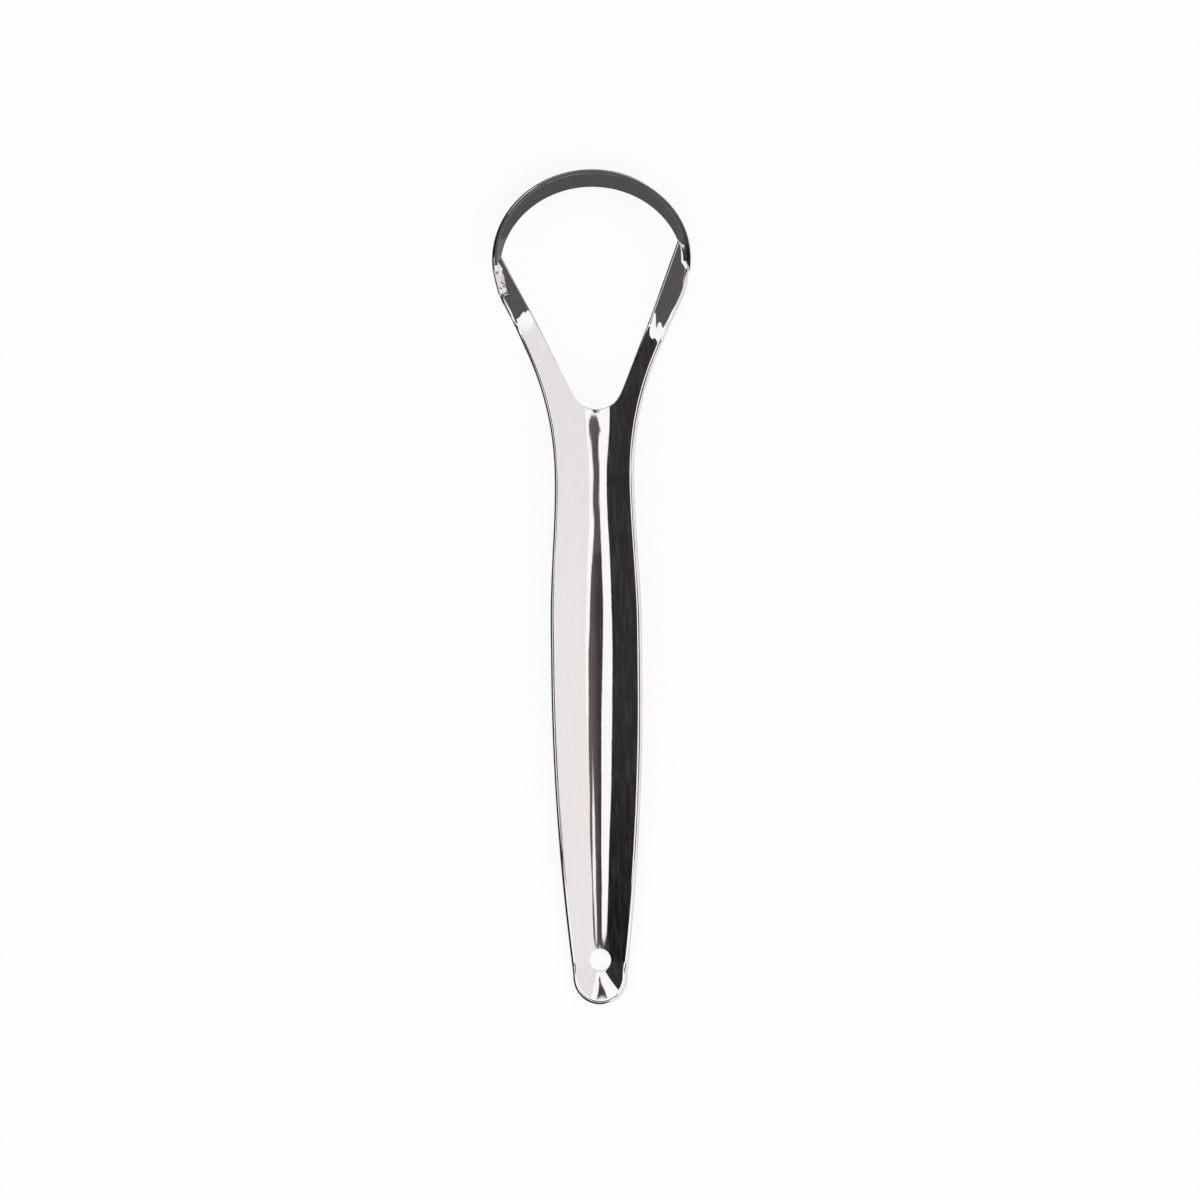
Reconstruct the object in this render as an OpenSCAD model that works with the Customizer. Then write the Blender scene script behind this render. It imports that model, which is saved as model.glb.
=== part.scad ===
// Tongue scraper pressed from polished stainless sheet. A trough-shaped handle forks into two
// arms, which bend down into a flat head and carry a strip hoop standing on its edge.
// It lies hollow side up with the hoop towards +Y. The lower rim of the hanging hole and the
// far rim of the hoop touch the table at z = 0, and the origin is under the middle of its box.
// Places along the handle are measured from the hanging hole before it is laid down.

/* [Sheet] */
// Thickness of the handle's sheet and of the hoop's strip
sheet_t = 1.0; // [0.8:0.05:1.3]

/* [Handle] */
// Full width of the handle at its belly
belly_w = 17; // [16:0.1:19]
// Place where the belly begins to narrow towards the tail
belly_low_y = 54; // [45:1:58]
// Place where the belly begins to narrow towards the waist
belly_high_y = 62; // [59:1:68]
// Full width of the handle at its waist
waist_w = 14.8; // [13:0.1:15.8]
// Place of the waist
waist_y = 90.2; // [84:0.1:94]
// Radius of the rounded tail
tail_r = 5.1; // [4.2:0.05:6.5]
// Distance from the hanging hole to the tip of the tail
tail_reach = 8.2; // [7:0.05:10]
// Slope of each flank of the trough
flank_tilt = 18; // [12:0.5:22]
// Radius of the valley between the flanks, on the hollow side
valley_r = 8; // [5:0.25:10]

/* [Hanging hole] */
// Diameter of the hanging hole
hole_d = 4.15; // [3:0.05:5.5]

/* [Fork] */
// Place of the bottom of the gap between the arms
fork_y = 102.5; // [98:0.1:105]
// Radius of the bottom of the gap
fork_r = 4.85; // [4:0.05:5.4]
// Sideways shift of the bottom of the gap, to the right
fork_shift = 0.6; // [-0.8:0.05:0.8]
// Width of each arm at its bend
arm_w = 3.4; // [3:0.05:4.5]
// Distance from the middle of the bend in to the hoop's outer radius
arm_inset = 5.4; // [5:0.1:6]
// Length of the straight stretch of an arm's outer edge, between the neck's flare and the bend
arm_straight = 5.4; // [2:0.1:9]

/* [Head] */
// Place of the bend, midway across an arm
bend_y = 119; // [117:0.1:121]
// Inside radius of the bend
bend_r = 7; // [4:0.25:9]
// Angle by which the head drops from the line of the handle
head_drop = 27.9; // [24:0.1:30]
// Distance from the bend to the hoop's centre, along the head
head_reach = 10.95; // [10:0.05:12]
// Angle above the hoop's centre line where the left arm's inner edge meets the hoop
left_arm_angle = 10.5; // [8:0.5:14]
// Angle above the hoop's centre line where the right arm's inner edge meets the hoop
right_arm_angle = 20.8; // [16:0.1:22]

/* [Hoop] */
// Outer radius of the hoop at its far rim
hoop_r = 18; // [17:0.1:18.6]
// Depth of the hoop's strip
hoop_depth = 5.15; // [4:0.05:6.5]
// Angle by which the strip flares outwards from its far rim
hoop_flare = 5.5; // [2:0.25:8]
// Angle of the hoop's left end below its centre line
left_end_angle = 17; // [14:0.5:20]
// Angle of the hoop's right end below its centre line
right_end_angle = 1.25; // [0.5:0.25:6]
// Distance along the head over which the left end fades to nothing
left_fade = 6.6; // [5:0.1:9]

/* [Welds] */
// Leg of the hollow fillet that joins the hoop to each arm
weld_leg = 2; // [1.4:0.1:2.4]
// Thickness of the fillet along its two toes
weld_toe = 0.15; // [0.1:0.01:0.25]
// Angle above the hoop's centre line where both fillets end
weld_end_angle = 24; // [22:0.5:30]

/* [Hidden] */
$fn = 96;

// Spare length by which a cutting body passes what it cuts
overrun = 4;
// Steps in which the valley, the bend and the curves of the outline are drawn
valley_steps = 6;
bend_steps = 7;
curve_steps = 12;

// The trough's arcs share one centre, and its keel lies along z = 0
keel_r = valley_r + sheet_t;

// The outline of the handle
belly_x = belly_w / 2;
waist_x = waist_w / 2;
tail_y = tail_r - tail_reach;
tail_lean = atan(2 * (belly_x - tail_r) / (belly_low_y - tail_y));
tail_side_x = tail_r * cos(tail_lean);
tail_side_y = tail_y + tail_r * sin(tail_lean);

// The bend: the angle between a flank and the head, and the bend line's turn in the flank
arm_x = hoop_r - arm_inset;
bend_angle = acos(cos(flank_tilt) * cos(head_drop));
bend_turn = atan(sin(flank_tilt) / tan(head_drop));
bend_z = flank_height(arm_x, valley_r);
bend_outer_r = bend_r + sheet_t;
inner_bend = bend_line(arm_x - arm_w / 2);
outer_bend = bend_line(arm_x + arm_w / 2);

// The outer edge of an arm: the arc that leaves the waist along the handle and runs out into
// a straight stretch, which ends at the bend
flare_x = outer_bend.x - waist_x;
flare_y = outer_bend.y - waist_y;
flare_r = (flare_x * flare_x + flare_y * flare_y - arm_straight * arm_straight) / (2 * flare_x);
arm_lean = atan2(flare_y, flare_r - flare_x) - atan(arm_straight / flare_r);

// The hoop stands in the head's own plane, with its far rim flush with the arms' underside
hoop_top = hoop_depth - sheet_t;
strip_w = sheet_t / cos(hoop_flare);
centre_y = bend_y + head_reach * cos(head_drop);

// The sheet is formed wider than its outline, which also runs on past the hoop's centre
blank_x = hoop_r + overrun;
outline_top_y = centre_y + hoop_r / 2;

// The centre of the gap's round bottom
gap_y = fork_y + fork_r;

// How it lies: the pitch that brings the hoop's far rim and the hole's rim to the table. The
// hole's rim touches on the side of the tail, or where the pitch is small, across from it.
hole_r = hole_d / 2;
hole_rim_z = keel_r - sqrt(keel_r * keel_r - hole_r * hole_r);
far_rim = head_place(hoop_r, -sheet_t);
near_rim = head_place(strip_outer(hoop_top), hoop_top);
pitch = atan(min((hole_rim_z - far_rim.z) / (far_rim.y + hole_r), -far_rim.z / (far_rim.y - hole_r)));
lift = -min(hole_rim_z * cos(pitch) - hole_r * sin(pitch), hole_r * sin(pitch));
low_y = -tail_reach * cos(pitch) - flank_height(tail_reach, valley_r) * sin(pitch);
high_y = near_rim.y * cos(pitch) - near_rim.z * sin(pitch);
middle_y = (low_y + high_y) / 2;

// Height of a flank's face of the given valley radius, at a distance from the axis
function flank_height(x, r) = keel_r - r / cos(flank_tilt) + x * tan(flank_tilt);

// One face of the trough's right half in section, from the axis out past the blank's edge
function half_face(r) = concat(
    [for (i = [0 : valley_steps])
        let (a = flank_tilt * i / valley_steps) [r * sin(a), keel_r - r * cos(a)]],
    [[blank_x, flank_height(blank_x, r)]]
);

// The point in plan where the bend lies at a distance from the axis
function bend_line(x) = [x, bend_y + (arm_x - x) * tan(flank_tilt) / tan(head_drop)];

// How far along the head a place in plan lies beyond the hoop's centre
function head_run(y) = (y - centre_y) / cos(head_drop);

// A point on the head, at a distance beyond the hoop's centre and a height on the head
function head_place(reach, height) =
    let (run = head_reach + reach)
    [0,
     bend_y + run * cos(head_drop) + height * sin(head_drop),
     bend_z - run * sin(head_drop) + height * cos(head_drop)];

function reversed(list) = [for (i = [len(list) - 1 : -1 : 0]) list[i]];
function mirrored(points) = [for (p = reversed(points)) [-p.x, p.y]];

// Radius of the strip's outer and inner faces at a height on the head
function strip_outer(height) = hoop_r + (height + sheet_t) * tan(hoop_flare);
function strip_inner(height) = strip_outer(height) - strip_w;

// The right-hand outer edge in plan, from the tip of the tail to above the hoop's centre
function tail_edge() = [for (i = [0 : curve_steps])
    let (a = -90 + (90 + tail_lean) * i / curve_steps) [tail_r * cos(a), tail_y + tail_r * sin(a)]];

function tail_to_belly() = [for (i = [1 : curve_steps])
    let (f = 1 - i / curve_steps)
    [belly_x - (belly_x - tail_side_x) * f * f, belly_low_y - (belly_low_y - tail_side_y) * f]];

function belly_to_waist() = [for (i = [0 : curve_steps - 1])
    let (f = i / curve_steps)
    [(belly_x + waist_x) / 2 + (belly_x - waist_x) / 2 * cos(180 * f),
     belly_high_y + (waist_y - belly_high_y) * f]];

function waist_flare() = [for (i = [0 : curve_steps])
    let (a = arm_lean * i / curve_steps)
    [waist_x + flare_r * (1 - cos(a)), waist_y + flare_r * sin(a)]];

// From the bend the outer edge runs straight on over the head and touches the hoop's arc
edge_run = head_run(outer_bend.y);
touch_angle = acos(hoop_r / norm([outer_bend.x, edge_run])) + atan2(edge_run, outer_bend.x);

function hoop_edge() = [for (i = [0 : curve_steps])
    let (a = touch_angle * (1 - i / curve_steps))
    [hoop_r * cos(a), centre_y + hoop_r * sin(a) * cos(head_drop)]];

function outer_edge() = concat(
    tail_edge(), tail_to_belly(), belly_to_waist(), waist_flare(),
    [outer_bend], hoop_edge(),
    [[hoop_r, outline_top_y]]
);

// One side of the gap, from the bottom upwards: round the bottom, straight to the bend, and
// straight on over the head through the point at an angle on the hoop's inner face
function gap_side(hoop_angle, shift) =
    let (bottom = [shift, gap_y])
    let (up = inner_bend - bottom)
    let (lean = acos(fork_r / norm(up)) - atan2(up.y, up.x))
    let (meet_r = strip_inner(0))
    let (meet = [meet_r * cos(hoop_angle), centre_y + meet_r * sin(hoop_angle) * cos(head_drop)])
    let (past = (outline_top_y + overrun - inner_bend.y) / (meet.y - inner_bend.y))
    concat(
        [for (i = [1 : curve_steps])
            let (a = -90 + (90 - lean) * i / curve_steps)
            bottom + fork_r * [cos(a), sin(a)]],
        [inner_bend, inner_bend + past * (meet - inner_bend)]
    );

module blank_outline() {
    difference() {
        polygon(concat(outer_edge(), mirrored(outer_edge())));
        polygon(concat(
            [[fork_shift, fork_y]],
            gap_side(right_arm_angle, fork_shift),
            mirrored(gap_side(left_arm_angle, -fork_shift))
        ));
    }
}

// The outline stood up through the sheet
module blank_prism() {
    translate([0, 0, -hoop_r]) linear_extrude(2 * hoop_r) blank_outline();
}

// Lays the finished tool on the table
module as_it_lies() {
    translate([0, -middle_y, lift]) rotate([pitch, 0, 0]) children();
}

// The head's plane: origin at the hoop's centre on the arms' upper face, y away from the tail
module on_head() {
    translate([0, bend_y, bend_z]) rotate([-head_drop, 0, 0]) translate([0, head_reach, 0]) children();
}

// Everything under one face of the right half, which bends down from the flank to the head
module under_face(r, bend_face_r) {
    deep = 2 * hoop_r;
    intersection() {
        translate([0, centre_y + hoop_r, 0]) rotate([90, 0, 0]) linear_extrude(centre_y + hoop_r)
            polygon(concat(half_face(r), [[blank_x, -deep], [0, -deep]]));
        bend_planes(bend_face_r);
    }
}

// The space under a row of flat steps around the bend, the last of which is the head's plane
module bend_planes(face_r) {
    size = 4 * (centre_y + hoop_r);
    translate([arm_x, bend_y, bend_z]) rotate([0, -flank_tilt, 0]) rotate([0, 0, -bend_turn])
        translate([0, -bend_outer_r * tan(bend_angle / 2), -bend_outer_r])
            intersection_for (i = [1 : bend_steps])
                rotate([-bend_angle * i / bend_steps, 0, 0])
                    translate([-size / 2, -size / 2, face_r - size]) cube(size);
}

module right_half() {
    difference() {
        under_face(valley_r, bend_outer_r);
        under_face(keel_r, bend_r);
    }
}

// The trough closes at the tail by turning its half section about the hanging hole
module tail_bowl() {
    rotate([0, 0, 180]) rotate_extrude(angle = 180)
        polygon(concat(half_face(keel_r), reversed(half_face(valley_r))));
}

// The ring of space that the hoop takes between its two ends, with given sides
module hoop_turn(from_angle, to_angle) {
    rotate([0, 0, from_angle]) rotate_extrude(angle = to_angle - from_angle) children();
}

// What is cut from the arms so that they butt against the hoop's inner face
module hoop_seat() {
    low = -sheet_t - overrun;
    high = hoop_top + overrun;
    hoop_turn(-right_end_angle, 180 + left_end_angle)
        polygon([
            [strip_inner(low), low],
            [strip_inner(high), high],
            [hoop_r + 2 * overrun, high],
            [hoop_r + 2 * overrun, low]
        ]);
}

// What is cut above the left end of the hoop, where its strip fades into the arm
module left_fade_cut() {
    end_y = -hoop_r * sin(left_end_angle);
    top = hoop_top + overrun;
    slope = left_fade / hoop_top;
    rotate([90, 0, -90]) linear_extrude(hoop_r + 2 * overrun)
        polygon([
            [-end_y, 0],
            [-end_y - slope * top, top],
            [hoop_r + overrun, top],
            [hoop_r + overrun, 0]
        ]);
}

module weld_section() {
    centre_x = strip_inner(0) - weld_leg;
    hollow_r = weld_leg - weld_toe;
    polygon(concat(
        [[strip_inner(0), 0], [strip_inner(weld_leg), weld_leg]],
        [for (i = [0 : curve_steps])
            let (a = -90 * i / curve_steps)
            [centre_x + hollow_r * cos(a), weld_leg + hollow_r * sin(a)]],
        [[centre_x, 0]]
    ));
}

module weld(from_angle, to_angle) {
    intersection() {
        on_head() hoop_turn(from_angle, to_angle) weld_section();
        blank_prism();
    }
}

module handle() {
    color([0.78, 0.77, 0.78]) as_it_lies() difference() {
        intersection() {
            union() {
                right_half();
                mirror([1, 0, 0]) right_half();
                tail_bowl();
            }
            blank_prism();
        }
        on_head() hoop_seat();
        translate([0, 0, -overrun]) cylinder(h = valley_r + 2 * overrun, d = hole_d);
    }
}

module scraping_hoop() {
    color([0.62, 0.61, 0.63]) as_it_lies() on_head() difference() {
        hoop_turn(-right_end_angle, 180 + left_end_angle)
            polygon([
                [strip_inner(-sheet_t), -sheet_t],
                [strip_outer(-sheet_t), -sheet_t],
                [strip_outer(hoop_top), hoop_top],
                [strip_inner(hoop_top), hoop_top]
            ]);
        left_fade_cut();
    }
}

module left_weld() {
    color([0.84, 0.82, 0.82]) as_it_lies() difference() {
        weld(180 - weld_end_angle, 180 + left_end_angle);
        on_head() left_fade_cut();
    }
}

module right_weld() {
    color([0.84, 0.82, 0.82]) as_it_lies() weld(-right_end_angle, weld_end_angle);
}

handle();
scraping_hoop();
left_weld();
right_weld();
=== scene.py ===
import math

import bmesh
import bpy
import numpy as np
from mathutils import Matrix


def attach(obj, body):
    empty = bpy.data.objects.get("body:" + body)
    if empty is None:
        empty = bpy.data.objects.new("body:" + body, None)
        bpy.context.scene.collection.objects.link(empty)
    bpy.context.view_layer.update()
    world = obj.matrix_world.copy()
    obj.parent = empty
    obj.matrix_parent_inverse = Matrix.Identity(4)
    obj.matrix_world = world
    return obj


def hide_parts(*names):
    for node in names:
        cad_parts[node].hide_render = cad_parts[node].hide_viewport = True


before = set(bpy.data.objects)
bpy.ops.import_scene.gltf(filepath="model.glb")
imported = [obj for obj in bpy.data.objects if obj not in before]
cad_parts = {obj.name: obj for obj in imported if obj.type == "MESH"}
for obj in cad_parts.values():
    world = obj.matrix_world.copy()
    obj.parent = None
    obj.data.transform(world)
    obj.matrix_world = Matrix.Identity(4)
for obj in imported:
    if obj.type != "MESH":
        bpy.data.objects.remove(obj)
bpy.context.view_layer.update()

MM = 0.001

# Sizes of the tool in millimetres, and its angles in degrees where no radians are written. Places along
# the handle are measured from the hanging hole, and angles round the hoop from its right-hand side.
SHEET_T = 1.0
BELLY_X, BELLY_LOW_Y, BELLY_HIGH_Y = 8.5, 54.0, 62.0
WAIST_X, WAIST_Y = 7.4, 90.2
TAIL_R, TAIL_REACH = 5.1, 8.2
FLANK_TILT = math.radians(18.0)
VALLEY_R = 8.0
HOLE_R = 4.15 / 2
FORK_Y, FORK_R, FORK_SHIFT = 102.5, 4.85, 0.6
ARM_W, ARM_INSET, ARM_STRAIGHT = 3.4, 5.4, 5.4
BEND_Y = 119.0
HEAD_DROP = math.radians(27.9)
HEAD_REACH = 10.95
LEFT_ARM_ANGLE, RIGHT_ARM_ANGLE = 10.5, 20.8
HOOP_R, HOOP_DEPTH = 18.0, 5.15
HOOP_FLARE = math.radians(5.5)
# How far below the hoop's middle the solids' strip ends
LEFT_END_ANGLE, RIGHT_END_ANGLE = 17.0, 1.25

# Edges: how far the tumbling has rounded the sheet's edges, the hole's and the strip's rims
EDGE_R = 0.47
OUTER_EDGE_W, FORK_EDGE_W = 0.8, 0.2
HOLE_EDGE_R = 0.2
OUTER_RIM_R, INNER_RIM_R, FOOT_RIM_R = 0.5, 0.02, 0.2
# A rounded edge takes at most this share of a narrow arm's width
EDGE_SHARE = 0.42
# How far pieces that are welded together reach into each other
EMBED = 0.35
# The bends' softness: the right arm is bent over a wider radius than the left one
LEFT_BEND_SOFT, RIGHT_BEND_SOFT = 1.5, 2.4
# The tail curls up a little
TAIL_CURL = 0.0035
# The strip keeps this far within its nominal radius, so it stays inside the solids' box
STRIP_SLACK = 0.001
# How much the strip's upper rim falls towards its inner side
RIM_FALL = 0.05
# Towards its right end the rim falls more and is rolled less: from this angle, and over so many degrees
RIGHT_RIM_FALL, RIGHT_RIM_R = 0.078, 0.2
RIGHT_RIM_FROM, RIGHT_RIM_OVER = 50.0, 36.0
# The strip's right end is cut at a slant and reaches further at its top. It is turned this far at the very
# end and less and less over the next degrees, of which the first hold its rounded edge. The arm's outer
# edge lies free a little past the slant
STRIP_END_ANGLE = 3.7
RIGHT_END_SLANT, RIGHT_END_REACH = 8.1, 6.0
RIGHT_FREE_ANGLE = RIGHT_END_SLANT + 1.5
RIGHT_END_OVER, RIGHT_END_ROUND = 12.0, 0.8
# The rim gets this much lower towards the right end, over so many degrees
RIGHT_END_DROP, RIGHT_DROP_OVER = 0.32, 60.0
# The left end is ground down over this length, its inner side the most, and its outer rim is less rolled
LEFT_FADE, GROUND_LEAN, GROUND_RIM_R = 3.9, 0.9, 0.28
# The share of the strip's height left at the very end, and how round the fade is
LEFT_END_SHARE, LEFT_FADE_POWER = 0.05, 1.25
# The grinding begins a little inside the fade and grows at this rate; the inner side falls at most by
# the last share of the strip's height
GROUND_FROM, GROUND_RATE, GROUND_MOST = 0.95, 5, 0.6
# The weld fillets: where the left one begins and grows, legs along the head, rises up the strip, how
# hollow their faces are, and how much thinner they get towards their ends
LEFT_WELD_START, LEFT_WELD_EASE = 2.0, 4.0
LEFT_WELD_LEG, LEFT_WELD_HOLLOW, LEFT_WELD_TAPER = 0.85, 0.15, 0.15
RIGHT_WELD_LEG, RIGHT_WELD_RISE, RIGHT_WELD_HOLLOW, RIGHT_WELD_TAPER = 0.5, 0.16, 0.1, 0.6
# How far the left weld runs past the strip's end, and the right one begins short of the arm's inner edge
WELD_MARGIN = 1.5
# How much of the strip's slanted end the right weld runs along
RIGHT_WELD_RUN = 0.72

# The hollow side's valley radius along the handle, which the press left uneven
VALLEY_PLACES = (0, 8, 13, 22, 31, 45, 60, 75, 88, 96, 101)
VALLEY_RADII = (8.0, 8.0, 8.5, 9.7, 11.4, 13.6, 14.3, 13.2, 11.4, 12.6, 14.0)

# Steps of the meshes: round the hole, along the axis and an arm, across a half, round a rim, the hoop and
# a weld. Outlines have a point at every LINE_STEP, and corners eased over CORNER_REACH
FAN_STEPS, AXIS_STEPS, ARM_STEPS, ACROSS_STEPS = 40, 190, 96, 26
RIM_STEPS = 10
HOOP_STEPS, WELD_STEPS = 220, 48
LINE_STEP, CORNER_REACH = 0.25, 1.5

# The vertex layer that holds each point's place on the metal, in mm, for the polishing lines
GRAIN = "grain_place"

ARM_X = HOOP_R - ARM_INSET
HOOP_TOP = HOOP_DEPTH - SHEET_T
STRIP_W = SHEET_T / math.cos(HOOP_FLARE)
CENTRE_Y = BEND_Y + HEAD_REACH * math.cos(HEAD_DROP)
KEEL_R = VALLEY_R + SHEET_T


def flank_height(x, radius):
    """Height of a flank's face whose valley has the given radius, at a distance from the axis."""
    return KEEL_R - radius / math.cos(FLANK_TILT) + x * math.tan(FLANK_TILT)


BEND_Z = flank_height(ARM_X, VALLEY_R)


def strip_outer(height):
    """Radius of the strip's outer face at a height above the head."""
    return HOOP_R - STRIP_SLACK + (height + SHEET_T) * math.tan(HOOP_FLARE)


def strip_inner(height):
    """Radius of the strip's inner face at a height above the head."""
    return strip_outer(height) - STRIP_W


def on_head(points):
    """Points of the head's plane (across, beyond the hoop's centre, up) in the handle's frame."""
    p = np.asarray(points, float)
    run = HEAD_REACH + p[..., 1]
    y = BEND_Y + run * math.cos(HEAD_DROP) + p[..., 2] * math.sin(HEAD_DROP)
    z = BEND_Z - run * math.sin(HEAD_DROP) + p[..., 2] * math.cos(HEAD_DROP)
    return np.stack([p[..., 0], y, z], -1)


def resting_place():
    """Pitch, lift and shift that lay the tool on the hole's rim and the hoop's far rim."""
    rim_z = KEEL_R - math.sqrt(KEEL_R ** 2 - HOLE_R ** 2)
    far = on_head([0, HOOP_R, -SHEET_T])
    near = on_head([0, strip_outer(HOOP_TOP), HOOP_TOP])
    tail_side = (rim_z - far[2]) / (far[1] + HOLE_R)
    fork_side = -far[2] / (far[1] - HOLE_R)
    pitch = math.atan(min(tail_side, fork_side))
    lift = -min(rim_z * math.cos(pitch) - HOLE_R * math.sin(pitch), HOLE_R * math.sin(pitch))
    tip_z = flank_height(TAIL_REACH, VALLEY_R)
    low = -TAIL_REACH * math.cos(pitch) - tip_z * math.sin(pitch)
    high = near[1] * math.cos(pitch) - near[2] * math.sin(pitch)
    return pitch, lift, (low + high) / 2


PITCH, LIFT, MIDDLE_Y = resting_place()


def laid(points):
    """Points of the handle's frame in metres where the tool lies on the table."""
    p = np.asarray(points, float)
    y = p[..., 1] * math.cos(PITCH) - p[..., 2] * math.sin(PITCH) - MIDDLE_Y
    z = p[..., 1] * math.sin(PITCH) + p[..., 2] * math.cos(PITCH) + LIFT
    return np.stack([p[..., 0], y, z], -1) * MM


# Outlines in plan

def arc(centre, radius, start, end, steps):
    """Points of an arc from one angle in degrees to another."""
    a = np.radians(np.linspace(start, end, steps + 1))
    return np.stack([centre[0] + radius * np.cos(a), centre[1] + radius * np.sin(a)], -1)


def lengths(points):
    """The run of a line of points up to each of them."""
    steps = np.linalg.norm(np.diff(points, axis=0), axis=1)
    return np.concatenate([[0], np.cumsum(steps)])


def at_lengths(points, wanted):
    """The points of a line at the wanted runs."""
    run = lengths(points)
    return np.stack([np.interp(wanted, run, points[:, k]) for k in range(2)], -1)


def softened(points, step, reach):
    """The line in even steps with eased corners; it starts on a line of symmetry, x = its first x."""
    total = lengths(points)[-1]
    even = at_lengths(points, np.linspace(0, total, int(total / step) + 1))
    half = int(reach / step / 2)
    mirrored = even[half:0:-1] * (-1, 1) + (2 * even[0, 0], 0)
    padded = np.vstack([mirrored, even])
    out = even.copy()
    for i in range(len(even) - 1):
        k = min(half, len(even) - 1 - i)
        out[i] = padded[i + half - k:i + half + k + 1].mean(0)
    return out


def bend_line(x):
    """The point in plan where an arm's flank meets the head's plane, at a distance from the axis."""
    return np.array([x, BEND_Y + (ARM_X - x) * math.tan(FLANK_TILT) / math.tan(HEAD_DROP)])


def head_plan(radius, angle):
    """A point in plan at a radius and an angle in degrees about the hoop's centre."""
    a = math.radians(angle)
    return np.array([radius * math.cos(a), CENTRE_Y + radius * math.sin(a) * math.cos(HEAD_DROP)])


def outer_line(end_angle, arm_angle, free_angle):
    """A half's outer edge in plan, from the tip of the tail up to inside the hoop.

    It follows the hoop's outer circle up to free_angle past the end_angle, and then hides in the strip.
    """
    tail_y = TAIL_R - TAIL_REACH
    lean = math.degrees(math.atan(2 * (BELLY_X - TAIL_R) / (BELLY_LOW_Y - tail_y)))
    tail = arc((0, tail_y), TAIL_R, -90, lean, 40)
    side = tail[-1]
    f = np.linspace(1, 0, 60)
    widening = BELLY_X - (BELLY_X - side[0]) * f ** 2
    lower = np.stack([widening, BELLY_LOW_Y - (BELLY_LOW_Y - side[1]) * f], -1)
    f = np.linspace(0, 1, 60)
    swing = (BELLY_X + WAIST_X) / 2 + (BELLY_X - WAIST_X) / 2 * np.cos(math.pi * f)
    upper = np.stack([swing, BELLY_HIGH_Y + (WAIST_Y - BELLY_HIGH_Y) * f], -1)
    bend = bend_line(ARM_X + ARM_W / 2)
    flare_x, flare_y = bend[0] - WAIST_X, bend[1] - WAIST_Y
    flare_r = (flare_x ** 2 + flare_y ** 2 - ARM_STRAIGHT ** 2) / (2 * flare_x)
    arm_lean = math.degrees(math.atan2(flare_y, flare_r - flare_x) - math.atan(ARM_STRAIGHT / flare_r))
    flare = arc((WAIST_X + flare_r, WAIST_Y), flare_r, 180, 180 - arm_lean, 40)
    run = (bend[1] - CENTRE_Y) / math.cos(HEAD_DROP)
    touch = math.degrees(math.acos(HOOP_R / math.hypot(bend[0], run)) + math.atan2(run, bend[0]))
    free = [head_plan(HOOP_R, a) for a in np.linspace(touch, free_angle - end_angle, 24)]
    inside = strip_inner(0) + EMBED
    hidden_angles = np.linspace(free_angle - end_angle + 0.8, arm_angle - 1.0, 24)
    hidden = [head_plan(inside, a) for a in hidden_angles]
    line = np.vstack([tail, lower[1:], upper, flare[1:], [bend], free, hidden])
    return softened(line, LINE_STEP, CORNER_REACH)


def gap_line(arm_angle, shift):
    """One side of the fork's gap in plan, from its bottom up to inside the hoop."""
    bottom = np.array([shift, FORK_Y + FORK_R])
    bend = bend_line(ARM_X - ARM_W / 2)
    up = bend - bottom
    lean = math.degrees(math.acos(FORK_R / np.linalg.norm(up)) - math.atan2(up[1], up[0]))
    turn = arc(bottom, FORK_R, -90, -lean, 24)
    meet = head_plan(strip_inner(0) + EMBED, arm_angle)
    return softened(np.vstack([turn, [bend], [meet]]), LINE_STEP, CORNER_REACH)


# The sheet's middle surface

def eased_radii():
    """The valley's radii at every millimetre, with their changes eased."""
    y = np.arange(-10, 140, 1.0)
    radii = np.interp(y, VALLEY_PLACES, VALLEY_RADII)
    window = np.hanning(13)
    padded = np.pad(radii, 6, mode="edge")
    return y, np.convolve(padded, window / window.sum(), mode="valid")


RADII_Y, RADII = eased_radii()


def middle_height(x, y):
    """Height of the sheet's middle: a trough with a round valley, bent down into the flat head."""
    reach = np.where(y < 0, np.hypot(x, y), np.abs(x))
    radius = np.interp(y, RADII_Y, RADII) + SHEET_T / 2
    flank = flank_height(reach, VALLEY_R + SHEET_T / 2)
    floor = flank_height(0, VALLEY_R + SHEET_T / 2) + radius * (1 / math.cos(FLANK_TILT) - 1)
    inside = np.minimum(reach, radius * math.sin(FLANK_TILT))
    round_part = floor + radius - np.sqrt(radius ** 2 - inside ** 2)
    trough = np.where(reach < radius * math.sin(FLANK_TILT), round_part, flank)
    trough = trough + TAIL_CURL * np.minimum(y, 0) ** 2
    head = BEND_Z - (y - BEND_Y) * math.tan(HEAD_DROP) - SHEET_T / 2 / math.cos(HEAD_DROP)
    soft = np.where(x > 0, RIGHT_BEND_SOFT, LEFT_BEND_SOFT)
    gap = np.maximum(soft - np.abs(trough - head), 0)
    return np.minimum(trough, head) - gap ** 2 / (4 * soft)


def on_sheet(plan, off):
    """Points of the sheet above plan points, at a distance off its middle along its normal."""
    plan = np.asarray(plan, float)
    x, y = plan[..., 0], plan[..., 1]
    d = 0.02
    slope_x = (middle_height(x + d, y) - middle_height(x - d, y)) / (2 * d)
    slope_y = (middle_height(x, y + d) - middle_height(x, y - d)) / (2 * d)
    normal = np.stack([-slope_x, -slope_y, np.ones_like(slope_x)], -1)
    normal /= np.linalg.norm(normal, axis=-1, keepdims=True)
    base = np.stack([x, y, middle_height(x, y)], -1)
    return base + normal * np.asarray(off)[..., None]


# Meshes

def placed(name, bm):
    """An object in the scene with the mesh that was drawn up."""
    mesh = bpy.data.meshes.new(name)
    bm.to_mesh(mesh)
    bm.free()
    made = bpy.data.objects.new(name, mesh)
    bpy.context.scene.collection.objects.link(made)
    return made


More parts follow.
